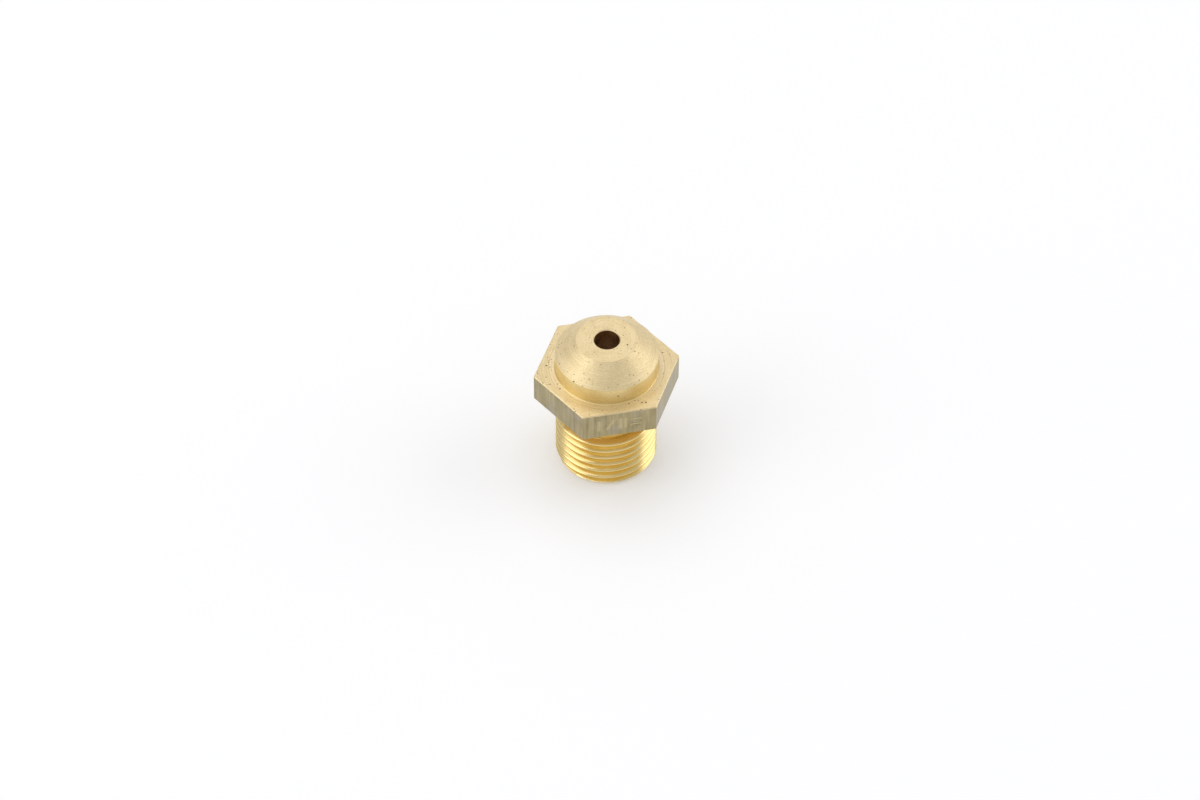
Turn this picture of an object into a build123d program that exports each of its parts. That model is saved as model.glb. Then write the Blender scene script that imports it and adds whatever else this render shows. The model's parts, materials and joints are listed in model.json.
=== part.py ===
from build123d import *

import os
from math import ceil, radians, tan

# Oil burner nozzle: a turned hexagonal brass body that holds an orifice disc, a swirl
# distributor, a lock screw and an inlet strainer. Millimetres. +Z runs along the bore
# towards the nose. The origin is the centre of the inlet end face, on which it stands.

# ---- Body, outside ----
hex_across_flats = 12.0
hex_thickness = 3.0
shank_length = 8.5          # inlet end face to the underside of the hexagon
collar_shoulder = 1.17      # flat of the hexagon to the collar
collar_height = 1.85
cone_height = 1.75
nose_flat_radius = 2.9
collar_fillet = 0.12        # radius in the corner between collar and hexagon
edge_break = 0.08           # small chamfer on sharp turned edges

# ---- Inlet thread: G 1/8, 28 turns to the inch, 55 degree flanks ----
thread_radius = 4.8
thread_pitch = 0.907
thread_depth = 0.56
thread_flank_angle = 27.5   # half of the included angle
thread_crest_width = 0.15
thread_turn = 258.0         # angle about the axis where a ridge stands at thread_ridge_height
thread_ridge_height = 2.95
relief_length = 2.42        # plain groove between the thread and the hexagon
relief_depth = 0.62
relief_fillet = 0.2
end_chamfer = 0.45

# ---- Body, bores ----
outlet_radius = 1.2
outlet_land = 0.95          # depth of the outlet hole before it opens out
spray_bore_length = 2.35
disc_seat_width = 0.8       # ring on which the orifice disc seats
inlet_wall = 0.94           # between the thread root and the strainer's counterbore
strainer_shoulder = 0.2     # step on which the strainer's flange seats
inner_edge_break = 0.15

# ---- Working parts behind the nose ----
disc_thickness = 0.9
orifice_radius = 0.15
orifice_land = 0.3
swirl_chamber_radius = 0.75
distributor_length = 2.3
distributor_boss_length = 0.6
distributor_edge = 0.68     # disc edge to the boss that seats on it
swirl_slot_width = 0.3
swirl_slot_depth = 0.3
swirl_slots = 3
feed_groove_width = 0.9
feed_groove_depth = 0.5
feed_grooves = 4
slide_clearance = 0.03      # radial, disc and distributor in their bore

# ---- Lock screw, fine metric thread ----
screw_length = 2.3
screw_neck_length = 1.0
screw_neck_edge = 0.7       # disc edge to the neck that pushes on the distributor
screw_pitch = 0.5
screw_thread_depth = 0.3
screw_crest_width = 0.07
screw_flank_angle = 30.0
screw_turn = 37.0           # how far the screw is turned in when it is tight
screw_gap = 0.03            # thread clearance, radial
screw_slot_width = 0.8
screw_slot_depth = 0.7
screw_bore_radius = 0.9
cross_hole_radius = 0.32
screw_bore_relief = 0.05    # strainer bore wall to the crest of the screw's thread
thread_lead_in = 0.5        # tapped length beyond each end of the screw's thread

# ---- Inlet strainer ----
ring_inset = 0.42           # inlet end face to the retaining ring's groove
ring_thickness = 0.5
ring_width = 0.5
ring_groove_depth = 0.2
ring_side_gap = 0.03
ring_end_gap = 1.2
flange_thickness = 0.5
cup_wall = 0.35
cup_passage = 0.4           # annular oil passage between cup and bore
cup_floor = 0.35
strainer_gap = 0.7          # end of the cup to the lock screw
strainer_fit = 0.04         # radial, strainer flange in its counterbore
cup_hole_radius = 0.4
cup_holes_around = 8
cup_row_spacing = 1.1
floor_holes = 6
gauze_thickness = 0.14

# ---- Heights along the axis, worked out from the sizes above ----
hex_bottom = shank_length
hex_top = hex_bottom + hex_thickness
collar_top = hex_top + collar_height
nose_face = collar_top + cone_height
thread_end = shank_length - relief_length
disc_front = nose_face - outlet_land - spray_bore_length
disc_back = disc_front - disc_thickness
distributor_back = disc_back - distributor_length
screw_neck_start = distributor_back - screw_neck_length
screw_back = screw_neck_start - screw_length
ring_bottom = ring_inset + ring_side_gap
flange_bottom = ring_bottom + ring_thickness
flange_top = flange_bottom + flange_thickness
cup_top = screw_back - strainer_gap

# ---- Radii, worked out from the hexagon and from the thread inwards ----
collar_radius = hex_across_flats / 2 - collar_shoulder
thread_root = thread_radius - thread_depth
relief_radius = thread_radius - relief_depth
counterbore_radius = thread_root - inlet_wall
strainer_bore_radius = counterbore_radius - strainer_shoulder
screw_radius = strainer_bore_radius - screw_bore_relief
screw_root = screw_radius - screw_thread_depth
tapped_bore_radius = screw_root + screw_gap
chamber_radius = tapped_bore_radius - screw_gap * 2
disc_radius = chamber_radius - slide_clearance
spray_bore_radius = disc_radius - disc_seat_width
boss_radius = disc_radius - distributor_edge
neck_radius = disc_radius - screw_neck_edge
cup_radius = strainer_bore_radius - cup_passage
cup_inner_radius = cup_radius - cup_wall
gauze_inner_radius = cup_inner_radius - gauze_thickness

BASE = (Align.CENTER, Align.CENTER, Align.MIN)
CUTTER_REACH = 0.4          # share of the crest that a thread cutter widens by outside the metal


def disc(radius, bottom, top):
    """Round bar on the axis between two heights."""
    return Pos(0, 0, bottom) * Cylinder(radius, top - bottom, align=BASE)


def turned(*outline):
    """Solid of revolution of a half section given as radius and height pairs."""
    section = Plane.XZ * Polyline(*outline, close=True)
    return revolve(make_face(section), Axis.Z)


def ring_of(count, shape, start=0.0):
    """Equal copies of a shape about the axis."""
    return [Rot(0, 0, start + 360.0 * i / count) * shape for i in range(count)]


def helical_bar(radii, widths, pitch, low, turns):
    """Bar of trapezoid section wound on a right-hand helix that starts on +X at height low."""
    inner, outer = radii
    inner_half, outer_half = widths[0] / 2, widths[1] / 2
    path = Helix(pitch=pitch, height=turns * pitch, radius=inner, center=(0, 0, low))
    corners = [
        (inner, 0, low - inner_half),
        (outer, 0, low - outer_half),
        (outer, 0, low + outer_half),
        (inner, 0, low + inner_half),
    ]
    return sweep(make_face(Polyline(*corners, close=True)), path=path, is_frenet=True)


def threaded_rod(radii, crest_width, flank_angle, pitch, ridge, low, high):
    """Round rod with a thread groove wound into it, longer than the stretch it is wanted for.

    radii are the root and crest radii, and ridge is a height and an angle where the crest stands.
    """
    root, crest = radii
    ridge_height, ridge_angle = ridge
    slope = tan(radians(flank_angle))
    groove = pitch - crest_width
    reach = CUTTER_REACH * crest_width / slope
    widths = (groove - 2 * (crest - root) * slope, groove + 2 * reach * slope)
    groove_height = ridge_height + pitch / 2
    start = groove_height - ceil((groove_height - low) / pitch + 1) * pitch
    turns = ceil((high - start) / pitch) + 1
    cutter = Rot(0, 0, ridge_angle) * helical_bar((root, crest + reach), widths, pitch, start, turns)
    return disc(crest, start - pitch, start + (turns + 1) * pitch) - cutter


def circles(shape, radius, height):
    """Circular edges of a turned shape with this radius at this height."""
    edges = shape.edges().filter_by(GeomType.CIRCLE)
    return edges.filter_by(lambda e: abs(e.radius - radius) < 1e-4 and abs(e.arc_center.Z - height) < 1e-4)


def hexagon():
    """Drawn hexagonal bar with its edges just broken."""
    flats = extrude(RegularPolygon(hex_across_flats / 2, 6, major_radius=False), hex_thickness)
    return Pos(0, 0, hex_bottom) * chamfer(flats.edges(), edge_break)


def turned_outside():
    """Nose, collar and relief groove, turned from one bar."""
    return turned(
        (0, thread_end),
        (relief_radius, thread_end),
        (relief_radius, hex_top),
        (collar_radius, hex_top),
        (collar_radius, collar_top),
        (nose_flat_radius, nose_face),
        (0, nose_face),
    )


def inlet_shank():
    """Threaded inlet end, chamfered at both ends of the thread."""
    rod = threaded_rod(
        (thread_root, thread_radius), thread_crest_width, thread_flank_angle, thread_pitch,
        (thread_ridge_height, thread_turn), 0, thread_end,
    )
    envelope = turned(
        (0, 0),
        (thread_radius - end_chamfer, 0),
        (thread_radius + edge_break, end_chamfer + edge_break),
        (thread_radius + edge_break, thread_end - 2 * edge_break),
        (thread_radius - edge_break, thread_end),
        (0, thread_end),
    )
    return rod & envelope


def screw_thread(growth, low, high):
    """Lock screw's thread, or with a growth the tap that cuts its seat."""
    rod = threaded_rod(
        (screw_root + growth, screw_radius + growth), screw_crest_width, screw_flank_angle,
        screw_pitch, (screw_back + screw_pitch / 2, screw_turn), low, high,
    )
    slope = growth + screw_thread_depth
    envelope = turned(
        (0, low),
        (screw_root, low),
        (screw_root + slope, low + slope),
        (screw_root + slope, high - slope),
        (screw_root, high),
        (0, high),
    )
    return rod & envelope


def body_bores():
    """Everything drilled and bored along the axis, as one solid to take away."""
    bores = disc(outlet_radius, disc_front, nose_face)
    bores += disc(spray_bore_radius, disc_front, nose_face - outlet_land)
    bores += disc(chamber_radius, distributor_back, disc_front)
    bores += disc(tapped_bore_radius, flange_top, distributor_back)
    bores += disc(strainer_bore_radius, flange_top, screw_back - thread_lead_in)
    bores += disc(strainer_bore_radius, screw_neck_start, distributor_back)
    bores += disc(counterbore_radius, 0, flange_top)
    bores += disc(counterbore_radius + ring_groove_depth, ring_inset, flange_bottom)
    entry = counterbore_radius + inner_edge_break
    bores += turned((0, 0), (entry, 0), (counterbore_radius, inner_edge_break), (0, inner_edge_break))
    return bores


def nozzle_body():
    """Turned brass body with its pipe thread, bores and tapped seat."""
    body = hexagon() + turned_outside()
    body = fillet(circles(body, collar_radius, hex_top), collar_fillet)
    body = fillet(circles(body, relief_radius, hex_bottom), relief_fillet)
    body = body + inlet_shank() - body_bores()
    tap = screw_thread(screw_gap, screw_back - 2 * thread_lead_in, screw_neck_start + thread_lead_in)
    return body - tap


def orifice_disc():
    """Disc with a conical swirl chamber on its back and the metering orifice at its centre."""
    outline = disc(disc_radius, disc_back, disc_front)
    outline = chamfer(circles(outline, disc_radius, disc_back), edge_break)
    cone_top = disc_front - orifice_land
    chamber = turned(
        (0, disc_back), (swirl_chamber_radius, disc_back), (orifice_radius, cone_top), (0, cone_top)
    )
    return outline - chamber - disc(orifice_radius, disc_back, disc_front)


def distributor():
    """Plug with feed grooves down its side and tangential slots across its boss."""
    boss_bottom = disc_back - distributor_boss_length
    plug = disc(disc_radius, distributor_back, boss_bottom)
    plug = chamfer(circles(plug, disc_radius, distributor_back), edge_break)
    plug += disc(boss_radius, boss_bottom, disc_back)
    groove = Pos(disc_radius, 0, distributor_back) * Box(
        2 * feed_groove_depth, feed_groove_width, distributor_length, align=BASE
    )
    for cut in ring_of(feed_grooves, groove):
        plug -= cut
    offset = swirl_chamber_radius - swirl_slot_width / 2
    slot = Pos(boss_radius / 2, offset, disc_back - swirl_slot_depth) * Box(
        boss_radius + swirl_slot_width, swirl_slot_width, swirl_slot_depth, align=BASE
    )
    for cut in ring_of(swirl_slots, slot):
        plug -= cut
    return plug


def lock_screw():
    """Slotted screw with a fine thread, an oil bore and cross holes below its neck."""
    screw = screw_thread(0, screw_back, screw_neck_start)
    screw += disc(neck_radius, screw_neck_start, distributor_back)
    cross_height = distributor_back - screw_neck_length / 2
    screw -= disc(screw_bore_radius, screw_back, cross_height)
    cross_hole = Pos(0, 0, cross_height) * Rot(0, 90, 0) * Cylinder(cross_hole_radius, 2 * screw_radius)
    screw -= cross_hole
    screw -= Rot(0, 0, 90) * cross_hole
    slot = Pos(0, 0, screw_back) * Box(2 * screw_radius, screw_slot_width, screw_slot_depth, align=BASE)
    return screw - slot


def strainer_cup():
    """Flanged thimble with rows of oil holes in its wall and floor."""
    flange_radius = counterbore_radius - strainer_fit
    cup = disc(flange_radius, flange_bottom, flange_top) + disc(cup_radius, flange_bottom, cup_top)
    cup -= disc(cup_inner_radius, flange_bottom, cup_top - cup_floor)
    wall_hole = Rot(0, 90, 0) * Cylinder(cup_hole_radius, cup_radius + 1, align=BASE)
    first = flange_top + cup_row_spacing / 2
    rows = int((cup_top - cup_floor - cup_hole_radius - first) / cup_row_spacing) + 1
    for row in range(rows):
        height = first + row * cup_row_spacing
        stagger = 180.0 / cup_holes_around * (row % 2)
        for hole in ring_of(cup_holes_around, wall_hole, stagger):
            cup -= Pos(0, 0, height) * hole
    floor_hole = Pos(cup_inner_radius * 0.6, 0, 0) * disc(cup_hole_radius, flange_top, cup_top)
    for hole in ring_of(floor_holes, floor_hole):
        cup -= hole
    return cup - disc(cup_hole_radius, flange_top, cup_top)


def strainer_gauze():
    """Woven wire lining of the strainer cup."""
    top = cup_top - cup_floor
    lining = disc(cup_inner_radius, flange_bottom, top)
    return lining - disc(gauze_inner_radius, flange_bottom, top - gauze_thickness)


def retaining_ring():
    """Flat internal snap ring, open at one side."""
    outer = counterbore_radius + ring_groove_depth - ring_side_gap
    ring = disc(outer, ring_bottom, flange_bottom) - disc(outer - ring_width, ring_bottom, flange_bottom)
    gap = Pos(outer, 0, ring_bottom) * Box(2 * ring_width + 1, ring_end_gap, ring_thickness, align=BASE)
    return ring - gap


os.makedirs("parts", exist_ok=True)
pieces = {
    "nozzle_body": nozzle_body,
    "orifice_disc": orifice_disc,
    "distributor": distributor,
    "lock_screw": lock_screw,
    "strainer_cup": strainer_cup,
    "strainer_gauze": strainer_gauze,
    "retaining_ring": retaining_ring,
}
for name, make in pieces.items():
    export_step(make(), f"parts/{name}.step")
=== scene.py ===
import json
from math import cos, pi, radians, sin, tan

import bmesh
import bpy
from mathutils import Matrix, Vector


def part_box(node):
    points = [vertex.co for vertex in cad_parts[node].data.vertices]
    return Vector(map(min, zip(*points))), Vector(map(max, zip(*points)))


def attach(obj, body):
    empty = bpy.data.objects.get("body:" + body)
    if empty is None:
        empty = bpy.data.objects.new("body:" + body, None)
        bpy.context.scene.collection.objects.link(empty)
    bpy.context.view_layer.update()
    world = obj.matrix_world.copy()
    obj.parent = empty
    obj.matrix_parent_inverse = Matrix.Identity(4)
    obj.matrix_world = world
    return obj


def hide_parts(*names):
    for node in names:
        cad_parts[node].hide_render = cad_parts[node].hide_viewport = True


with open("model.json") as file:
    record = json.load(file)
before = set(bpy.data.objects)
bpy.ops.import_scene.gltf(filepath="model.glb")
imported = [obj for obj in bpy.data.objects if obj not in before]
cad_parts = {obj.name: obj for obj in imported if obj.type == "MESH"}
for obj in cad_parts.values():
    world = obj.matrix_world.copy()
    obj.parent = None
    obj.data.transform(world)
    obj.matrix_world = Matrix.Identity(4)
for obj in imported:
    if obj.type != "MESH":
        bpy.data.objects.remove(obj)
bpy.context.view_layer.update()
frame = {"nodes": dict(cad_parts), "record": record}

# ---------------------------------------------------------------------------------------------
# Inlet thread. The lower half of the brass body is a G 1/8 pipe thread, 28 turns to the inch,
# cut with a die: rounded crests and roots, a chamfered start and a run-out into the relief.
# ---------------------------------------------------------------------------------------------
MM = 0.001
interfaces = {mount["name"]: mount for mount in frame["record"]["mounts"]}
HEX_BOTTOM = interfaces["sealing_face"]["pos_m"][2]
THREAD_RADIUS = 4.8 * MM
THREAD_ROOT = 4.24 * MM
THREAD_PITCH = 0.907 * MM
THREAD_CREST = 0.15 * MM
THREAD_FLANK = radians(27.5)
THREAD_ROUNDING = 0.06 * MM
RIDGE_HEIGHT = HEX_BOTTOM - 5.55 * MM
RIDGE_TURN = radians(258)
START_CHAMFER = 0.45 * MM
RELIEF_LENGTH = 2.42 * MM
RELIEF_RADIUS = 4.18 * MM
THREAD_END = HEX_BOTTOM - RELIEF_LENGTH
RUN_OUT = 0.16 * MM
RIM_STEEPNESS = 3.0         # how steeply the rim of the end face falls into the thread's groove
SPARE_TURNS = 2             # turns of the mesh beyond both ends of the thread, trimmed away
THREAD_WELD = 0.0005 * MM
COLUMNS = 360               # edges around every turned surface, a multiple of the six flats
ROWS_PER_TURN = 20          # rows of the mesh from one crest to the next


def new_tree(name, inputs):
    """Geometry node tree with named inputs, and the node that brings them in."""
    tree = bpy.data.node_groups.new(name, "GeometryNodeTree")
    for label, kind in inputs:
        tree.interface.new_socket(name=label, in_out="INPUT", socket_type=kind)
    tree.interface.new_socket(name="Geometry", in_out="OUTPUT", socket_type="NodeSocketGeometry")
    entry = tree.nodes.new("NodeGroupInput")
    return tree, entry


def feed(tree, socket, value):
    """Wire a socket to another socket, or set it to a number."""
    if hasattr(value, "links"):
        tree.links.new(value, socket)
    else:
        socket.default_value = value


def math(tree, operation, *values):
    node = tree.nodes.new("ShaderNodeMath")
    node.operation = operation
    for socket, value in zip(node.inputs, values):
        feed(tree, socket, value)
    return node.outputs[0]


def combine(tree, x, y, z):
    node = tree.nodes.new("ShaderNodeCombineXYZ")
    for socket, value in zip(node.inputs, (x, y, z)):
        feed(tree, socket, value)
    return node.outputs[0]


def parts_of(tree, vector):
    """The x, y and z of a vector."""
    node = tree.nodes.new("ShaderNodeSeparateXYZ")
    tree.links.new(vector, node.inputs[0])
    return node.outputs


def place(tree):
    """Where the point in hand lies, as x, y and z."""
    return parts_of(tree, tree.nodes.new("GeometryNodeInputPosition").outputs[0])


def from_axis(tree, x, y):
    """Distance of a point from the axis."""
    squares = math(tree, "ADD", math(tree, "MULTIPLY", x, x), math(tree, "MULTIPLY", y, y))
    return math(tree, "SQRT", squares)


def close_tree(tree, geometry, material):
    """End a tree with Realize Instances and Set Material."""
    realize = tree.nodes.new("GeometryNodeRealizeInstances")
    paint = tree.nodes.new("GeometryNodeSetMaterial")
    leave = tree.nodes.new("NodeGroupOutput")
    tree.links.new(geometry, realize.inputs[0])
    tree.links.new(realize.outputs[0], paint.inputs["Geometry"])
    tree.links.new(material, paint.inputs["Material"])
    tree.links.new(paint.outputs[0], leave.inputs[0])


def grow(tree, name, settings):
    """Evaluate a tree on an empty object and return the result as a plain mesh."""
    host = bpy.data.objects.new(name, bpy.data.meshes.new(name))
    bpy.context.scene.collection.objects.link(host)
    modifier = host.modifiers.new(name, "NODES")
    modifier.node_group = tree
    for item in tree.interface.items_tree:
        if item.in_out == "INPUT" and item.name in settings:
            modifier[item.identifier] = settings[item.name]
    evaluated = host.evaluated_get(bpy.context.evaluated_depsgraph_get())
    mesh = bpy.data.meshes.new_from_object(evaluated)
    bpy.data.objects.remove(host)
    return mesh


def thread_tree():
    """Sleeve whose radius follows a right-hand ridge, trimmed by its start chamfer and run-out."""
    number, whole = "NodeSocketFloat", "NodeSocketInt"
    tree, entry = new_tree("cut thread", [
        ("Crest Radius", number), ("Root Radius", number), ("Pitch", number), ("Crest Width", number),
        ("Flank Slope", number), ("Rounding", number), ("Ridge Height", number), ("Ridge Turn", number),
        ("Start Radius", number), ("Rim Steepness", number), ("End", number), ("End Radius", number),
        ("End Steepness", number), ("Weld", number), ("Spare Turns", whole), ("Columns", whole),
        ("Rows per Turn", whole), ("Material", "NodeSocketMaterial"),
    ])
    size = {socket.name: socket for socket in entry.outputs}
    turns = math(tree, "CEIL", math(tree, "DIVIDE", size["End"], size["Pitch"]))
    rows = math(tree, "MULTIPLY", math(tree, "ADD", turns, size["Spare Turns"]), size["Rows per Turn"])
    grid = tree.nodes.new("GeometryNodeMeshGrid")
    tree.links.new(math(tree, "ADD", size["Columns"], 1), grid.inputs["Vertices X"])
    tree.links.new(math(tree, "ADD", rows, 1), grid.inputs["Vertices Y"])
    x, y, _ = place(tree)
    lap = math(tree, "ADD", x, 0.5)
    turn = math(tree, "ADD", math(tree, "MULTIPLY", lap, 2 * pi), size["Ridge Turn"])
    row = math(tree, "ROUND", math(tree, "MULTIPLY", math(tree, "ADD", y, 0.5), rows))
    climb = math(tree, "DIVIDE", row, size["Rows per Turn"])
    first = math(tree, "CEIL", math(tree, "DIVIDE", size["Ridge Height"], size["Pitch"]))
    crests = math(tree, "SUBTRACT", math(tree, "ADD", climb, lap), math(tree, "ADD", first, 1))
    wound = math(tree, "ADD", size["Ridge Height"], math(tree, "MULTIPLY", crests, size["Pitch"]))
    height = math(tree, "MAXIMUM", math(tree, "MINIMUM", wound, size["End"]), 0)
    share = math(tree, "FRACT", math(tree, "ADD", climb, 0.5))
    aside = math(tree, "MULTIPLY", math(tree, "ABSOLUTE", math(tree, "SUBTRACT", share, 0.5)), size["Pitch"])
    beyond = math(tree, "SUBTRACT", aside, math(tree, "MULTIPLY", size["Crest Width"], 0.5))
    flank = math(tree, "SUBTRACT", size["Crest Radius"], math(tree, "DIVIDE", beyond, size["Flank Slope"]))
    crest = math(tree, "SMOOTH_MIN", flank, size["Crest Radius"], size["Rounding"])
    ridge = math(tree, "SMOOTH_MAX", crest, size["Root Radius"], size["Rounding"])
    start = math(tree, "ADD", size["Start Radius"], height)
    fall = math(tree, "MULTIPLY", height, size["Rim Steepness"])
    rim = math(tree, "SUBTRACT", size["Start Radius"], fall)
    drop = math(tree, "MULTIPLY", math(tree, "SUBTRACT", size["End"], height), size["End Steepness"])
    finish = math(tree, "ADD", size["End Radius"], drop)
    trimmed = math(tree, "MINIMUM", math(tree, "MINIMUM", ridge, start), finish)
    radius = math(tree, "MAXIMUM", trimmed, rim)
    across = math(tree, "MULTIPLY", radius, math(tree, "COSINE", turn))
    along = math(tree, "MULTIPLY", radius, math(tree, "SINE", turn))
    shift = tree.nodes.new("GeometryNodeSetPosition")
    tree.links.new(grid.outputs["Mesh"], shift.inputs["Geometry"])
    tree.links.new(combine(tree, across, along, height), shift.inputs["Position"])
    weld = tree.nodes.new("GeometryNodeMergeByDistance")
    tree.links.new(size["Weld"], weld.inputs["Distance"])
    tree.links.new(shift.outputs[0], weld.inputs["Geometry"])
    close_tree(tree, weld.outputs[0], size["Material"])
    return tree


def shader(name, colour, roughness, metallic=1.0):
    """Material with its node tree, its main shader and an Object coordinate."""
    material = bpy.data.materials.new(name)
    material.use_nodes = True
    tree = material.node_tree
    surface = tree.nodes["Principled BSDF"]
    surface.inputs["Base Color"].default_value = (*colour, 1)
    surface.inputs["Roughness"].default_value = roughness
    surface.inputs["Metallic"].default_value = metallic
    where = tree.nodes.new("ShaderNodeTexCoord").outputs["Object"]
    return material, tree, surface, where


def stretched(tree, where, x, y, z):
    """Object coordinate in millimetres, stretched by a factor along each axis."""
    node = tree.nodes.new("ShaderNodeMapping")
    node.inputs["Scale"].default_value = (x / MM, y / MM, z / MM)
    tree.links.new(where, node.inputs["Vector"])
    return node.outputs[0]


def axis_distance(tree, where):
    """Distance of the point from the axis, in metres, with its x and z."""
    x, y, z = parts_of(tree, where)
    return from_axis(tree, x, y), x, z


def turned_coordinate(tree, where, radial, axial, around):
    """Coordinate that runs with radius, height and angle, for marks left by a lathe tool."""
    radius, x, z = axis_distance(tree, where)
    side = math(tree, "MULTIPLY", math(tree, "DIVIDE", x, radius), around)
    away = math(tree, "MULTIPLY", radius, radial / MM)
    return combine(tree, away, side, math(tree, "MULTIPLY", z, axial / MM))


def noise(tree, where, scale, detail=3.0, roughness=0.5):
    node = tree.nodes.new("ShaderNodeTexNoise")
    node.inputs["Scale"].default_value = scale
    node.inputs["Detail"].default_value = detail
    node.inputs["Roughness"].default_value = roughness
    tree.links.new(where, node.inputs["Vector"])
    return node.outputs["Fac"]


def spread(tree, value, low, high, out_low, out_high):
    """Map a value from one range to another and clamp it."""
    node = tree.nodes.new("ShaderNodeMapRange")
    for socket, number in zip(node.inputs[1:5], (low, high, out_low, out_high)):
        socket.default_value = number
    tree.links.new(value, node.inputs[0])
    return node.outputs[0]


def blend_colour(tree, factor, first, second):
    node = tree.nodes.new("ShaderNodeMix")
    node.data_type = "RGBA"
    feed(tree, node.inputs["Factor"], factor)
    for socket, colour in zip((node.inputs[6], node.inputs[7]), (first, second)):
        feed(tree, socket, colour if hasattr(colour, "links") else (*colour, 1))
    return node.outputs[2]


def two_tone(tree, pattern, first, second, contrast=0.15):
    """Colour that turns from one to another where a pattern rises through its middle."""
    return blend_colour(tree, spread(tree, pattern, 0.5 - contrast, 0.5 + contrast, 0, 1), first, second)


def gloss(tree, surface, pattern, smooth, rough):
    """Roughness that follows a pattern from one value to another."""
    tree.links.new(spread(tree, pattern, 0.3, 0.7, smooth, rough), surface.inputs["Roughness"])


def mixed(tree, *shares):
    """Patterns added up, each by its share."""
    total = 0.0
    for pattern, share in shares:
        total = math(tree, "ADD", total, math(tree, "MULTIPLY", pattern, share))
    return total


def roughen(tree, surface, height, depth, inside=None):
    """Bump of a depth in millimetres, on top of another bump if one is given."""
    node = tree.nodes.new("ShaderNodeBump")
    node.inputs["Strength"].default_value = 1.0
    node.inputs["Distance"].default_value = depth * MM
    tree.links.new(height, node.inputs["Height"])
    if inside is not None:
        tree.links.new(inside, node.inputs["Normal"])
    tree.links.new(node.outputs[0], surface.inputs["Normal"])
    return node.outputs[0]


def specks(tree, where, per_mm, size, share):
    """Small scattered specks of uneven size: 1 in a speck and 0 elsewhere."""
    cells = tree.nodes.new("ShaderNodeTexVoronoi")
    cells.inputs["Scale"].default_value = per_mm
    tree.links.new(where, cells.inputs["Vector"])
    tone = tree.nodes.new("ShaderNodeSeparateColor")
    tree.links.new(cells.outputs["Color"], tone.inputs[0])
    reach = math(tree, "MULTIPLY", tone.outputs[1], size)
    near = math(tree, "LESS_THAN", cells.outputs["Distance"], reach)
    return math(tree, "MULTIPLY", near, math(tree, "LESS_THAN", tone.outputs[0], share))


def thread_brass():
    """Freshly cut brass of the thread: pale on the crests, with painted shade that makes it deeper gold down
    in the grooves and in the relief below the hexagon.
    """
    material, tree, surface, where = shader("cut_thread_brass", (0.88, 0.66, 0.27), 0.1)
    marks = noise(tree, turned_coordinate(tree, where, 9, 9, 2), 1.0, 2)
    patches = noise(tree, stretched(tree, where, 1, 1, 1), 0.5, 3)
    # Painted shade: the nearer a point lies to the axis, the darker and deeper gold its colour, for the
    # shade in the thread's roots and in the relief under the hexagon.
    depth = spread(tree, axis_distance(tree, where)[0], THREAD_ROOT, THREAD_RADIUS, 0.75, 0.1)
    tone = math(tree, "ADD", depth, spread(tree, patches, 0.35, 0.65, 0, 0.25))
    colour = blend_colour(tree, tone, (0.90, 0.73, 0.36), (0.72, 0.51, 0.16))
    tree.links.new(colour, surface.inputs["Base Color"])
    gloss(tree, surface, marks, 0.17, 0.25)
    roughen(tree, surface, marks, 0.003)
    return material


cut_thread_brass = thread_brass()
thread_mesh = grow(thread_tree(), "thread", {
    "Crest Radius": THREAD_RADIUS,
    "Root Radius": THREAD_ROOT,
    "Pitch": THREAD_PITCH,
    "Crest Width": THREAD_CREST,
    "Flank Slope": tan(THREAD_FLANK),
    "Rounding": THREAD_ROUNDING,
    "Ridge Height": RIDGE_HEIGHT,
    "Ridge Turn": RIDGE_TURN,
    "Start Radius": THREAD_RADIUS - START_CHAMFER,
    "Rim Steepness": RIM_STEEPNESS,
    "End": THREAD_END,
    "End Radius": RELIEF_RADIUS,
    "End Steepness": (THREAD_RADIUS - RELIEF_RADIUS) / RUN_OUT,
    "Weld": THREAD_WELD,
    "Spare Turns": SPARE_TURNS,
    "Columns": COLUMNS,
    "Rows per Turn": ROWS_PER_TURN,
    "Material": cut_thread_brass,
})

# ---------------------------------------------------------------------------------------------
# Nozzle body. One piece of drawn hexagonal brass bar, turned above and below the flats: relief
# groove, collar, cone nose and outlet hole outside, stepped bores for the working parts inside.
# ---------------------------------------------------------------------------------------------
body_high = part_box("nozzle_body")[1]
disc_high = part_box("orifice_disc")[1]
screw_low, screw_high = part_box("lock_screw")
cup_low, cup_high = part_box("strainer_cup")
ring_low, ring_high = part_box("retaining_ring")
NOSE_FACE = body_high.z
FLAT_DISTANCE = body_high.y  # axis to each flat
HEX_THICKNESS = 3.0 * MM
HEX_TOP = HEX_BOTTOM + HEX_THICKNESS
HEX_CORNER_ROUND = 0.1 * MM
HEX_EDGE = 0.08 * MM
COLUMNS_PER_FLAT = COLUMNS // 6
CORNER_CROWDING = 0.6       # how far the columns draw in to the corners; 0 spaces them evenly
FLAT_ROWS = 32
COLLAR_SHOULDER = 1.17 * MM  # flat of the hexagon to the collar
COLLAR_HEIGHT = 1.85 * MM
COLLAR_RADIUS = FLAT_DISTANCE - COLLAR_SHOULDER
COLLAR_TOP = HEX_TOP + COLLAR_HEIGHT
COLLAR_FILLET = 0.12 * MM
COLLAR_ROWS = 8
CONE_ROWS = 14
NOSE_FLAT_RADIUS = 2.9 * MM
NOSE_ROWS = 8
NOSE_EDGE = 0.04 * MM
OUTLET_EDGE = 0.08 * MM
RELIEF_FILLET = 0.2 * MM
TOOL_RING_WIDTH = 0.42 * MM
TOOL_RING_DEPTH = 0.03 * MM
OUTLET_RADIUS = interfaces["outlet_hole"]["dims"]["r_mm"] * MM
OUTLET_LAND = interfaces["outlet_hole"]["dims"]["length_mm"] * MM
BORE_ROWS = 4
DISC_SEAT = disc_high.z
DISC_SEAT_WIDTH = 0.8 * MM
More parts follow.
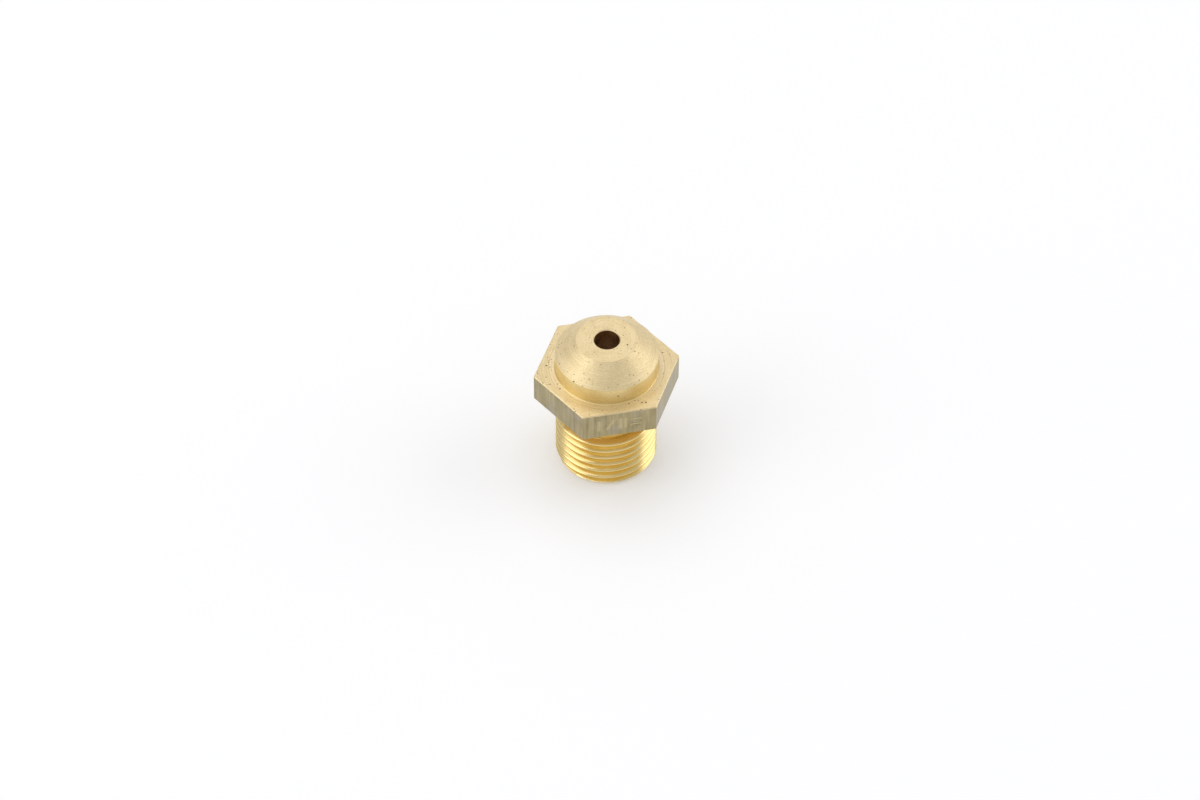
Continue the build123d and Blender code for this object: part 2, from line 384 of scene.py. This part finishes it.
SLIDE_CLEARANCE = 0.03 * MM  # disc and distributor in their bore
SPRAY_RADIUS = disc_high.x - DISC_SEAT_WIDTH
CHAMBER_RADIUS = disc_high.x + SLIDE_CLEARANCE
SCREW_RELIEF = 0.05 * MM
SCREW_GAP = 0.03 * MM
SCREW_NECK = 1.0 * MM
TAP_RUN_OUT = 0.5 * MM
GALLERY_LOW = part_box("distributor")[0].z
GALLERY_RADIUS = screw_high.x + SCREW_RELIEF
SCREW_TOP = GALLERY_LOW - SCREW_NECK
TAPPED_RADIUS = screw_high.x + SCREW_GAP
TAPPED_LOW = screw_low.z - TAP_RUN_OUT
STRAINER_FIT = 0.04 * MM
FLANGE_THICKNESS = 0.5 * MM
RING_GAP = 0.03 * MM
COUNTERBORE_RADIUS = cup_high.x + STRAINER_FIT
COUNTERBORE_TOP = cup_low.z + FLANGE_THICKNESS
RING_GROOVE_RADIUS = ring_high.y + RING_GAP
RING_GROOVE = (ring_low.z - RING_GAP, ring_high.z)
ENTRY_CHAMFER = 0.15 * MM
BODY_WELD = 0.002 * MM


def arc(centre, radius, start, end, steps=6):
    """Points of a round stretch of a half section, as radius and height."""
    angles = [radians(start + (end - start) * k / steps) for k in range(steps + 1)]
    return [(centre[0] + radius * cos(a), centre[1] + radius * sin(a)) for a in angles]


def line(start, end, steps):
    return [
        (start[0] + (end[0] - start[0]) * k / steps, start[1] + (end[1] - start[1]) * k / steps)
        for k in range(steps + 1)
    ]


def ring(bm, radius, height):
    """Round ring of vertices."""
    step = 2 * pi / COLUMNS
    return [bm.verts.new((radius * cos(k * step), radius * sin(k * step), height)) for k in range(COLUMNS)]


def skin(bm, rings, slot):
    """Faces between neighbouring rings, which run so that the faces look outwards."""
    for lower, upper in zip(rings, rings[1:]):
        for k in range(COLUMNS):
            n = (k + 1) % COLUMNS
            face = bm.faces.new((lower[k], lower[n], upper[n], upper[k]))
            face.material_index = slot
            face.smooth = True


def hexagon_point(column, inset):
    """Point on the rounded hexagonal outline, with more points near each corner than on the flats."""
    flat, step = divmod(column, COLUMNS_PER_FLAT)
    share = step / COLUMNS_PER_FLAT
    share -= CORNER_CROWDING * sin(2 * pi * share) / (2 * pi)
    off_middle = radians(60 * share - 30)
    middle = radians(60 * flat + 30)
    distance = FLAT_DISTANCE - inset
    half = distance * tan(radians(30))
    along = distance * tan(off_middle)
    straight = half - HEX_CORNER_ROUND * tan(radians(30))
    if abs(along) > straight:
        sweep = (abs(along) - straight) / (half - straight) * radians(30)
        side = 1 if along > 0 else -1
        along = side * (straight + HEX_CORNER_ROUND * sin(sweep))
        distance -= HEX_CORNER_ROUND * (1 - cos(sweep))
    return (
        distance * cos(middle) - along * sin(middle),
        distance * sin(middle) + along * cos(middle),
    )


def hexagon_ring(bm, inset, height):
    return [bm.verts.new((*hexagon_point(k, inset), height)) for k in range(COLUMNS)]


PUNCH_FLAT = 4                # the flat that faces -Y carries the punched marks
PUNCH_DEPTH = 0.1 * MM
PUNCH_STROKE = 0.13 * MM
PUNCH_REACH = 1.5             # stroke widths from its middle line to where a mark has faded out
# Each mark is a straight stroke: its two ends, along the flat and up from its middle, in mm.
PUNCH_MARKS = [
    ((-1.9, -0.6), (-1.9, 0.6)),
    ((-1.15, -0.55), (-0.55, 0.55)),
    ((0.1, -0.6), (0.1, 0.6)),
    ((0.55, -0.6), (0.55, 0.6)),
    ((1.2, 0.35), (1.95, 0.35)),
    ((1.2, -0.35), (1.95, -0.35)),
]


def punch(bm, vertices):
    """Press plain strokes into the front flat, and note how deep each point went for its finish."""
    struck = bm.verts.layers.float["struck"]
    middle_height = (HEX_BOTTOM + HEX_TOP) / 2
    for vertex in vertices:
        here = Vector((vertex.co.x, vertex.co.z - middle_height)) / MM
        depth = 0.0
        for start, end in PUNCH_MARKS:
            reach = Vector(end) - Vector(start)
            offset = here - Vector(start)
            share = min(max(offset.dot(reach) / reach.length_squared, 0), 1)
            away = (offset - reach * share).length * MM
            depth = max(depth, min(max(PUNCH_REACH - away / PUNCH_STROKE, 0), 1))
        vertex.co.y += depth * PUNCH_DEPTH
        vertex[struck] = depth


def hexagon(bm, inner_low, inner_high):
    """Flats of the hexagon with their broken edges, between two round rings."""
    flats = [hexagon_ring(bm, HEX_EDGE, HEX_BOTTOM)]
    skin(bm, [inner_low, flats[0]], SEAT)
    for k in range(FLAT_ROWS + 1):
        height = HEX_BOTTOM + HEX_EDGE + (HEX_TOP - HEX_BOTTOM - 2 * HEX_EDGE) * k / FLAT_ROWS
        flats.append(hexagon_ring(bm, 0, height))
    top = hexagon_ring(bm, HEX_EDGE, HEX_TOP)
    skin(bm, flats, FLATS)
    skin(bm, [flats[-1], top, inner_high], FACE)
    first = PUNCH_FLAT * COLUMNS_PER_FLAT
    punch(bm, [v for row in flats[1:] for v in row[first + 1:first + COLUMNS_PER_FLAT]])


NOSE, FACE, FLATS, THREAD, COLLAR, BAND, BORES, SEAT = range(8)    # material slots of the body


def body_mesh():
    """The whole body as one closed skin, joined to the thread."""
    bm = bmesh.new()
    bm.from_mesh(thread_mesh)
    bm.verts.layers.float.new("struck")
    for face in bm.faces:
        face.material_index = THREAD
        face.smooth = True
    relief = [(RELIEF_RADIUS, THREAD_END), (RELIEF_RADIUS, HEX_BOTTOM - 2 * RELIEF_FILLET)]
    relief += arc((RELIEF_RADIUS + RELIEF_FILLET, HEX_BOTTOM - RELIEF_FILLET), RELIEF_FILLET, 180, 90)
    relief_rings = [ring(bm, r, z) for r, z in relief]
    skin(bm, relief_rings, THREAD)
    groove_outside = COLLAR_RADIUS + COLLAR_FILLET + TOOL_RING_WIDTH
    groove_floor = HEX_TOP - TOOL_RING_DEPTH
    band = [(groove_outside + TOOL_RING_DEPTH, HEX_TOP), (groove_outside, groove_floor)]
    band += [(COLLAR_RADIUS + COLLAR_FILLET, groove_floor)]
    fillet_centre = (COLLAR_RADIUS + COLLAR_FILLET, groove_floor + COLLAR_FILLET)
    collar = arc(fillet_centre, COLLAR_FILLET, 270, 180)[1:]
    collar += line(collar[-1], (COLLAR_RADIUS, COLLAR_TOP - NOSE_EDGE), COLLAR_ROWS)[1:]
    cone_foot = (COLLAR_RADIUS - NOSE_EDGE, COLLAR_TOP)
    cone = line(cone_foot, (NOSE_FLAT_RADIUS, NOSE_FACE - NOSE_EDGE), CONE_ROWS)
    nose_rim = (NOSE_FLAT_RADIUS - NOSE_EDGE, NOSE_FACE)
    cone += line(nose_rim, (OUTLET_RADIUS + OUTLET_EDGE, NOSE_FACE), NOSE_ROWS)
    band_rings = [ring(bm, r, z) for r, z in band]
    collar_rings = [band_rings[-1]] + [ring(bm, r, z) for r, z in collar]
    nose_rings = [collar_rings[-1]] + [ring(bm, r, z) for r, z in cone]
    hexagon(bm, relief_rings[-1], band_rings[0])
    skin(bm, band_rings, BAND)
    skin(bm, collar_rings, COLLAR)
    skin(bm, nose_rings, NOSE)
    outlet_end = NOSE_FACE - OUTLET_LAND
    bores = line((OUTLET_RADIUS, NOSE_FACE - OUTLET_EDGE), (OUTLET_RADIUS, outlet_end), BORE_ROWS)
    bores += line((SPRAY_RADIUS, outlet_end), (SPRAY_RADIUS, DISC_SEAT), BORE_ROWS)
    bores += [
        (CHAMBER_RADIUS, DISC_SEAT), (CHAMBER_RADIUS, GALLERY_LOW),
        (GALLERY_RADIUS, GALLERY_LOW), (GALLERY_RADIUS, SCREW_TOP),
        (TAPPED_RADIUS, SCREW_TOP), (TAPPED_RADIUS, TAPPED_LOW),
        (GALLERY_RADIUS, TAPPED_LOW), (GALLERY_RADIUS, COUNTERBORE_TOP),
        (COUNTERBORE_RADIUS, COUNTERBORE_TOP), (COUNTERBORE_RADIUS, RING_GROOVE[1]),
        (RING_GROOVE_RADIUS, RING_GROOVE[1]), (RING_GROOVE_RADIUS, RING_GROOVE[0]),
        (COUNTERBORE_RADIUS, RING_GROOVE[0]), (COUNTERBORE_RADIUS, ENTRY_CHAMFER),
        (COUNTERBORE_RADIUS + ENTRY_CHAMFER, 0),
    ]
    bore_rings = [ring(bm, r, z) for r, z in bores]
    skin(bm, [nose_rings[-1], bore_rings[0]], NOSE)
    skin(bm, bore_rings, BORES)
    skin(bm, [bore_rings[-1], ring(bm, THREAD_RADIUS - START_CHAMFER, 0)], FACE)
    bmesh.ops.remove_doubles(bm, verts=bm.verts, dist=BODY_WELD)
    return bm


# Larger pores that the turning opened in the bar: distance from the axis in mm, angle in degrees
# and height, given one by one.
PORES = [
    (5.6, 168, HEX_TOP), (5.5, 7, HEX_TOP), (5.1, 282, HEX_TOP), (5.8, 297, HEX_TOP),
    (5.6, 294, HEX_TOP), (5.2, 202, HEX_TOP), (5.7, 75, HEX_TOP), (5.4, 128, HEX_TOP),
    (4.83, 271, COLLAR_TOP - 0.85 * MM), (4.83, 40, COLLAR_TOP - 0.5 * MM), (4.8, 219, COLLAR_TOP),
    (3.1, 269, NOSE_FACE - 0.1 * MM), (3.9, 110, NOSE_FACE - 0.87 * MM), (2.0, 330, NOSE_FACE),
]
PORE_RADIUS = 0.095 * MM
PORE_FLOOR = 0.6            # share of a pore's radius that is fully dark
PORE_RAGGEDNESS = 1.4       # how far its rim wanders, to its radius
PORE_GRAIN = 9 / MM


def pores(tree, where):
    """Ragged little holes at the pores: 1 in a hole and 0 elsewhere."""
    ragged = tree.nodes.new("ShaderNodeTexNoise")
    ragged.inputs["Scale"].default_value = PORE_GRAIN
    tree.links.new(where, ragged.inputs["Vector"])
    wander = math(tree, "SUBTRACT", ragged.outputs["Fac"], 0.5)
    uneven = math(tree, "MULTIPLY", wander, PORE_RAGGEDNESS * PORE_RADIUS)
    deepest = 0.0
    for away, angle, height in PORES:
        gap = tree.nodes.new("ShaderNodeVectorMath")
        gap.operation = "DISTANCE"
        turn = radians(angle)
        gap.inputs[1].default_value = (away * MM * cos(turn), away * MM * sin(turn), height)
        tree.links.new(where, gap.inputs[0])
        edge = math(tree, "ADD", gap.outputs["Value"], uneven)
        hole = spread(tree, edge, PORE_FLOOR * PORE_RADIUS, PORE_RADIUS, 1, 0)
        deepest = math(tree, "MAXIMUM", deepest, hole)
    return deepest


def turned_brass(name, pale, deep, roughness, grain=0.01, ringing=0.008, speckling=0.5):
    """Turned face: pale matt brass with fine rings from the tool, grain, specks and a few pores."""
    material, tree, surface, where = shader(name, pale, roughness)
    flat_scale = stretched(tree, where, 1, 1, 1)
    fine = noise(tree, flat_scale, 7.5, 4, 0.65)
    wide = noise(tree, flat_scale, 0.9, 3)
    rings = noise(tree, turned_coordinate(tree, where, 14, 14, 1.5), 1.0, 3)
    tone = mixed(tree, (fine, 0.45), (wide, 0.2), (rings, 0.35))
    colour = two_tone(tree, tone, pale, deep, contrast=0.1)
    dots = math(tree, "MULTIPLY", specks(tree, flat_scale, 3.2, 0.26, speckling), 0.55)
    marks = math(tree, "MAXIMUM", pores(tree, where), dots)
    colour = blend_colour(tree, marks, colour, (0.22, 0.15, 0.08))
    tree.links.new(colour, surface.inputs["Base Color"])
    gloss(tree, surface, fine, roughness - 0.06, roughness + 0.08)
    speckled = roughen(tree, surface, fine, grain)
    turned = roughen(tree, surface, rings, ringing, speckled)
    roughen(tree, surface, math(tree, "SUBTRACT", 1.0, marks), 0.03, turned)
    return material


def flat_brass():
    """Drawn bar skin of the flats: dull greyish olive, scratched along the bar, bright where struck."""
    material, tree, surface, where = shader("drawn_flat_brass", (0.40, 0.33, 0.18), 0.36)
    surface.inputs["Coat Weight"].default_value = 0.25
    surface.inputs["Coat Roughness"].default_value = 0.3
    streaks = noise(tree, stretched(tree, where, 4.5, 4.5, 0.14), 1.0, 4, 0.7)
    hairs = noise(tree, stretched(tree, where, 15, 15, 0.3), 1.0, 3, 0.6)
    film = noise(tree, stretched(tree, where, 1, 1, 0.7), 0.9, 4)
    tone = mixed(tree, (streaks, 0.4), (hairs, 0.35), (film, 0.25))
    colour = two_tone(tree, tone, (0.26, 0.215, 0.105), (0.47, 0.39, 0.215), contrast=0.1)
    tarnish = spread(tree, noise(tree, stretched(tree, where, 0.5, 0.5, 0.5), 1.0, 2), 0.5, 0.66, 0, 0.4)
    colour = blend_colour(tree, tarnish, colour, (0.43, 0.37, 0.31))
    struck = tree.nodes.new("ShaderNodeAttribute")
    struck.attribute_name = "struck"
    bright = math(tree, "MULTIPLY", struck.outputs["Fac"], 0.55)
    colour = blend_colour(tree, bright, colour, (0.66, 0.56, 0.30))
    tree.links.new(colour, surface.inputs["Base Color"])
    gloss(tree, surface, film, 0.3, 0.44)
    roughen(tree, surface, hairs, 0.01)
    return material


def bore_brass():
    """Brass inside the bores, dark brown: painted shade of the deep holes over a little oxide."""
    material, tree, surface, where = shader("stained_bore_brass", (0.52, 0.30, 0.13), 0.45)
    bore_mottle = noise(tree, stretched(tree, where, 1, 1, 1), 1.4, 4)
    # Painted shade: both tones are dark brown so that the bores look shaded deep inside; the noise only
    # mottles between them.
    colour = two_tone(tree, bore_mottle, (0.62, 0.37, 0.17), (0.42, 0.23, 0.10))
    tree.links.new(colour, surface.inputs["Base Color"])
    rings = noise(tree, turned_coordinate(tree, where, 10, 10, 1), 1.0, 2)
    gloss(tree, surface, rings, 0.36, 0.52)
    roughen(tree, surface, rings, 0.006)
    return material


def show(shape, name, materials, sharp=30):
    """Object at the origin with its materials, and edges sharper than an angle kept crisp."""
    mesh = bpy.data.meshes.new(name)
    shape.to_mesh(mesh)
    shape.free()
    for material in materials:
        mesh.materials.append(material)
    mesh.set_sharp_from_angle(angle=radians(sharp))
    piece = bpy.data.objects.new(name, mesh)
    bpy.context.scene.collection.objects.link(piece)
    return piece


body = show(body_mesh(), "turned_nozzle_body", [
    turned_brass("turned_nose_brass", (0.90, 0.75, 0.47), (0.74, 0.59, 0.33), 0.52),
    turned_brass("turned_face_brass", (0.88, 0.735, 0.46), (0.72, 0.57, 0.32), 0.48),
    flat_brass(),
    cut_thread_brass,
    turned_brass(
        "turned_collar_brass", (0.86, 0.705, 0.37), (0.74, 0.585, 0.28), 0.4, grain=0.006, speckling=0.15,
    ),
    turned_brass("tool_band_brass", (0.92, 0.79, 0.53), (0.78, 0.63, 0.40), 0.46, ringing=0.015),
    bore_brass(),
    # Painted shade: the underside of the hexagon gets darker, deeper orange brass than the faces above it,
    # so that it and its reflection in the thread look shaded.
    turned_brass(
        "sealing_face_brass", (0.72, 0.51, 0.23), (0.60, 0.41, 0.17), 0.34, grain=0.005, ringing=0.012,
    ),
])
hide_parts("nozzle_body")
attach(body, "root")

# ---------------------------------------------------------------------------------------------
# Working parts. Orifice disc, distributor and lock screw sit behind the outlet hole. They are
# turned parts whose shapes stand as designed and only get their finish here.
# ---------------------------------------------------------------------------------------------
def machined(name, colour, darker, roughness):
    """Clean turned metal with fine tool rings and light handling marks."""
    material, tree, surface, where = shader(name, colour, roughness)
    rings = noise(tree, turned_coordinate(tree, where, 14, 14, 1), 1.0, 2)
    cloud = noise(tree, stretched(tree, where, 1, 1, 1), 1.6, 4)
    tree.links.new(two_tone(tree, cloud, colour, darker), surface.inputs["Base Color"])
    gloss(tree, surface, rings, roughness - 0.05, roughness + 0.08)
    roughen(tree, surface, rings, 0.005)
    return material


def finish_node(node, material):
    """Give a part that stands as designed its finish."""
    mesh = frame["nodes"][node].data
    mesh.materials.clear()
    mesh.materials.append(material)


inner_brass = machined("inner_brass", (0.84, 0.66, 0.35), (0.74, 0.55, 0.26), 0.3)
hard_steel = machined("hardened_steel", (0.56, 0.56, 0.57), (0.44, 0.44, 0.46), 0.28)
finish_node("orifice_disc", hard_steel)
finish_node("distributor", inner_brass)
finish_node("lock_screw", inner_brass)

# ---------------------------------------------------------------------------------------------
# Inlet strainer. A drawn brass cup with rows of oil holes, flanged to seat in the counterbore.
# It stands as designed and gets the skin of drawn sheet, with faint lines up its wall.
# ---------------------------------------------------------------------------------------------
def drawn_sheet():
    """Thin brass sheet drawn into a cup: satin, with lines from the die and a warm film."""
    material, tree, surface, where = shader("drawn_sheet_brass", (0.80, 0.65, 0.36), 0.34)
    lines = noise(tree, stretched(tree, where, 8, 8, 0.5), 1.0, 3)
    film = noise(tree, stretched(tree, where, 1, 1, 1), 0.8, 3)
    colour = two_tone(tree, film, (0.84, 0.69, 0.39), (0.70, 0.52, 0.26))
    tree.links.new(colour, surface.inputs["Base Color"])
    gloss(tree, surface, lines, 0.26, 0.42)
    roughen(tree, surface, lines, 0.006)
    return material


finish_node("strainer_cup", drawn_sheet())

# ---------------------------------------------------------------------------------------------
# Strainer gauze. Fine bronze wire woven over and under, rolled into a sleeve inside the cup and
# closed by a disc of the same cloth. It is pressed in, and the retaining ring keeps it there.
# ---------------------------------------------------------------------------------------------
WIRE_RADIUS = 0.035 * MM
MESH_PITCH = 0.24 * MM
gauze_low, gauze_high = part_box("strainer_gauze")
SLEEVE_RADIUS = gauze_high.x - 2 * WIRE_RADIUS
UPRIGHT_WIRES = 2 * round(pi * SLEEVE_RADIUS / MESH_PITCH)
DISC_HEIGHT = gauze_high.z - 2 * WIRE_RADIUS
SLEEVE_LOW = gauze_low.z + WIRE_RADIUS
HOOP_WIRES = int((DISC_HEIGHT - SLEEVE_LOW) / MESH_PITCH)
WIRE_STEPS = 4              # points along a wire from one crossing to the next
WIRE_SIDES = 5


def straight_wire(tree, start, end, count):
    """Straight wire from one point to another, with a count of points."""
    wire = tree.nodes.new("GeometryNodeCurvePrimitiveLine")
    tree.links.new(start, wire.inputs["Start"])
    tree.links.new(end, wire.inputs["End"])
    even = tree.nodes.new("GeometryNodeResampleCurve")
    tree.links.new(wire.outputs[0], even.inputs["Curve"])
    tree.links.new(count, even.inputs["Count"])
    return even.outputs[0]


def repeated(tree, wire, posts):
    """The wire at each point of a mesh, as real curves."""
    copies = tree.nodes.new("GeometryNodeInstanceOnPoints")
    tree.links.new(posts, copies.inputs["Points"])
    tree.links.new(wire, copies.inputs["Instance"])
    real = tree.nodes.new("GeometryNodeRealizeInstances")
    tree.links.new(copies.outputs[0], real.inputs[0])
    return real.outputs[0]


def row_of_points(tree, count, start, step):
    row = tree.nodes.new("GeometryNodeMeshLine")
    tree.links.new(count, row.inputs["Count"])
    tree.links.new(start, row.inputs["Start Location"])
    tree.links.new(step, row.inputs["Offset"])
    return row.outputs[0]


def shifted(tree, curves, offset):
    move = tree.nodes.new("GeometryNodeSetPosition")
    tree.links.new(curves, move.inputs["Geometry"])
    tree.links.new(offset, move.inputs["Offset"])
    return move.outputs[0]


def thick_wire(tree, curves, radius, sides):
    """Round wire on each curve, closed at its ends."""
    section = tree.nodes.new("GeometryNodeCurvePrimitiveCircle")
    tree.links.new(sides, section.inputs["Resolution"])
    tree.links.new(radius, section.inputs["Radius"])
    cover = tree.nodes.new("GeometryNodeCurveToMesh")
    cover.inputs["Fill Caps"].default_value = True
    tree.links.new(curves, cover.inputs["Curve"])
    tree.links.new(section.outputs[0], cover.inputs["Profile Curve"])
    return cover.outputs[0]


def joined(tree, *parts):
    join = tree.nodes.new("GeometryNodeJoinGeometry")
    for part in reversed(parts):
        tree.links.new(part, join.inputs[0])
    return join.outputs[0]


def gauze_tree():
    """Sleeve and disc of plain weave: each wire's wave follows from where it lies."""
    number, whole = "NodeSocketFloat", "NodeSocketInt"
    tree, entry = new_tree("woven gauze", [
        ("Wire Radius", number), ("Pitch", number), ("Sleeve Radius", number), ("Sleeve Low", number),
        ("Disc Height", number), ("Upright Wires", whole), ("Hoop Wires", whole), ("Steps", whole),
        ("Sides", whole), ("Material", "NodeSocketMaterial"),
    ])
    size = {socket.name: socket for socket in entry.outputs}
    radius, low, top, pitch = (size[n] for n in ("Sleeve Radius", "Sleeve Low", "Disc Height", "Pitch"))
    hoop_gap = math(tree, "DIVIDE", math(tree, "SUBTRACT", top, low), size["Hoop Wires"])

    posts = tree.nodes.new("GeometryNodeMeshCircle")
    tree.links.new(size["Upright Wires"], posts.inputs["Vertices"])
    tree.links.new(radius, posts.inputs["Radius"])
    upright_points = math(tree, "MULTIPLY", size["Hoop Wires"], size["Steps"])
    upright = straight_wire(tree, combine(tree, 0, 0, low), combine(tree, 0, 0, top), upright_points)
    uprights = repeated(tree, upright, posts.outputs[0])
    hoop = tree.nodes.new("GeometryNodeCurvePrimitiveCircle")
    hoop_points = math(tree, "MULTIPLY", size["Upright Wires"], size["Steps"])
    tree.links.new(hoop_points, hoop.inputs["Resolution"])
    tree.links.new(radius, hoop.inputs["Radius"])
    first_hoop = combine(tree, 0, 0, math(tree, "ADD", low, math(tree, "MULTIPLY", hoop_gap, 0.5)))
    levels = row_of_points(tree, size["Hoop Wires"], first_hoop, combine(tree, 0, 0, hoop_gap))
    hoops = repeated(tree, hoop.outputs[0], levels)

    x, y, z = place(tree)
    angle = math(tree, "ARCTAN2", y, x)
    crossings = math(tree, "MULTIPLY", math(tree, "MULTIPLY", angle, size["Upright Wires"]), 0.5)
    around = math(tree, "COSINE", crossings)
    climb = math(tree, "DIVIDE", math(tree, "SUBTRACT", z, low), hoop_gap)
    along = math(tree, "SINE", math(tree, "MULTIPLY", climb, pi))
    wave = math(tree, "MULTIPLY", math(tree, "MULTIPLY", around, along), size["Wire Radius"])
    outward = combine(tree, math(tree, "COSINE", angle), math(tree, "SINE", angle), 0)

    def pushed(amount):
        scale = tree.nodes.new("ShaderNodeVectorMath")
        scale.operation = "SCALE"
        tree.links.new(outward, scale.inputs[0])
        tree.links.new(amount, scale.inputs["Scale"])
        return scale.outputs[0]

    uprights = shifted(tree, uprights, pushed(wave))
    hoops = shifted(tree, hoops, pushed(math(tree, "MULTIPLY", wave, -1)))

    half_count = math(tree, "FLOOR", math(tree, "DIVIDE", radius, pitch))
    reach = math(tree, "MULTIPLY", math(tree, "ADD", half_count, 0.5), pitch)
    back = math(tree, "MULTIPLY", reach, -1)
    count = math(tree, "ADD", math(tree, "MULTIPLY", half_count, 2), 1)
    points = math(tree, "MULTIPLY", count, size["Steps"])
    edge = math(tree, "MULTIPLY", math(tree, "MULTIPLY", half_count, pitch), -1)
    across_wire = straight_wire(tree, combine(tree, back, 0, 0), combine(tree, reach, 0, 0), points)
    deep_wire = straight_wire(tree, combine(tree, 0, back, 0), combine(tree, 0, reach, 0), points)
    across_row = row_of_points(tree, count, combine(tree, 0, edge, top), combine(tree, 0, pitch, 0))
    deep_row = row_of_points(tree, count, combine(tree, edge, 0, top), combine(tree, pitch, 0, 0))
    across = repeated(tree, across_wire, across_row)
    deep = repeated(tree, deep_wire, deep_row)
    wave_x = math(tree, "COSINE", math(tree, "MULTIPLY", math(tree, "DIVIDE", x, pitch), pi))
    wave_y = math(tree, "COSINE", math(tree, "MULTIPLY", math(tree, "DIVIDE", y, pitch), pi))
    lift = math(tree, "MULTIPLY", math(tree, "MULTIPLY", wave_x, wave_y), size["Wire Radius"])
    across = shifted(tree, across, combine(tree, 0, 0, lift))
    deep = shifted(tree, deep, combine(tree, 0, 0, math(tree, "MULTIPLY", lift, -1)))
    trim = tree.nodes.new("GeometryNodeDeleteGeometry")
    trim.domain = "POINT"
    outside = math(tree, "GREATER_THAN", from_axis(tree, x, y), radius)
    tree.links.new(joined(tree, across, deep), trim.inputs["Geometry"])
    tree.links.new(outside, trim.inputs["Selection"])

    wires = joined(tree, uprights, hoops, trim.outputs[0])
    close_tree(tree, thick_wire(tree, wires, size["Wire Radius"], size["Sides"]), size["Material"])
    return tree


def wire_bronze():
    """Drawn bronze wire: reddish, with a patchy film of lighter and darker tone."""
    material, tree, surface, where = shader("bronze_wire", (0.66, 0.47, 0.27), 0.3)
    film = noise(tree, stretched(tree, where, 1, 1, 1), 1.2, 4)
    marks = noise(tree, stretched(tree, where, 1, 1, 1), 14.0, 2)
    colour = two_tone(tree, film, (0.74, 0.52, 0.29), (0.50, 0.33, 0.17))
    tree.links.new(colour, surface.inputs["Base Color"])
    gloss(tree, surface, marks, 0.22, 0.42)
    roughen(tree, surface, marks, 0.003)
    return material


bronze_wire = wire_bronze()
gauze = bpy.data.objects.new("woven_gauze", grow(gauze_tree(), "gauze", {
    "Wire Radius": WIRE_RADIUS,
    "Pitch": MESH_PITCH,
    "Sleeve Radius": SLEEVE_RADIUS,
    "Sleeve Low": SLEEVE_LOW,
    "Disc Height": DISC_HEIGHT,
    "Upright Wires": UPRIGHT_WIRES,
    "Hoop Wires": HOOP_WIRES,
    "Steps": WIRE_STEPS,
    "Sides": WIRE_SIDES,
    "Material": bronze_wire,
}))
bpy.context.scene.collection.objects.link(gauze)
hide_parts("strainer_gauze")
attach(gauze, "root")

# ---------------------------------------------------------------------------------------------
# Retaining ring. A spring steel ring, open at one side, that snaps into the groove at the inlet
# and holds the strainer up against its shoulder. Blued by heat and lightly oiled.
# ---------------------------------------------------------------------------------------------
spring_steel = machined("oiled_spring_steel", (0.34, 0.34, 0.37), (0.20, 0.20, 0.23), 0.34)
finish_node("retaining_ring", spring_steel)

# ---------------------------------------------------------------------------------------------
# Studio. A pale table top, a soft light all round and a camera that looks down on the nose.
# ---------------------------------------------------------------------------------------------
FLOOR_RADIUS = 3.0
FLOOR_GAP = 0.02 * MM
TARGET = Vector((-0.587, 0.122, 6.78)) * MM
CAMERA_TURN = radians(-11.75)
CAMERA_RISE = radians(47.76)
CAMERA_DISTANCE = 329.3 * MM
CAMERA_ROLL = radians(0.41)
CAMERA_LENS = 105.0


def pale_table():
    bm = bmesh.new()
    bmesh.ops.create_circle(bm, cap_ends=True, radius=FLOOR_RADIUS, segments=96)
    bmesh.ops.translate(bm, verts=bm.verts, vec=(0, 0, -FLOOR_GAP))
    material, _, surface, _ = shader("table_white", (0.76, 0.765, 0.775), 0.7, 0.0)
    surface.inputs["Emission Color"].default_value = (1.0, 1.0, 1.0, 1)
    surface.inputs["Emission Strength"].default_value = 0.21
    table = show(bm, "table_top", [material])


def soft_light(name, place, width, power, aim=(0, 0, 10 * MM)):
    lamp = bpy.data.lights.new(name, "AREA")
    lamp.shape = "DISK"
    lamp.size = width
    lamp.energy = power
    light = bpy.data.objects.new(name, lamp)
    light.location = place
    light.rotation_euler = (Vector(aim) - Vector(place)).to_track_quat("-Z", "Y").to_euler()
    bpy.context.scene.collection.objects.link(light)


def surround(colour, strength):
    world = bpy.data.worlds.new("studio")
    world.use_nodes = True
    back = world.node_tree.nodes["Background"]
    back.inputs["Color"].default_value = (*colour, 1)
    back.inputs["Strength"].default_value = strength
    bpy.context.scene.world = world


def main_camera():
    level = cos(CAMERA_RISE)
    facing = Vector((sin(CAMERA_TURN) * level, -cos(CAMERA_TURN) * level, sin(CAMERA_RISE)))
    lens = bpy.data.cameras.new("camera")
    lens.lens = CAMERA_LENS
    lens.sensor_width = 36.0
    lens.clip_start = 0.01
    camera = bpy.data.objects.new("camera", lens)
    camera.location = TARGET + facing * CAMERA_DISTANCE
    camera.rotation_euler = (-facing).to_track_quat("-Z", "Y").to_euler()
    camera.rotation_euler.rotate_axis("Z", CAMERA_ROLL)
    bpy.context.scene.collection.objects.link(camera)
    bpy.context.scene.camera = camera


pale_table()
surround(colour=(1.0, 1.0, 1.0), strength=0.6)
soft_light("overhead", place=(-0.15, 0.25, 0.9), width=1.1, power=3.0)
soft_light("left", place=(-0.7, -0.1, 0.4), width=0.7, power=1.45)
soft_light("right", place=(0.7, 0.0, 0.4), width=0.7, power=1.35)
main_camera()
bpy.context.scene.view_settings.view_transform = "Standard"
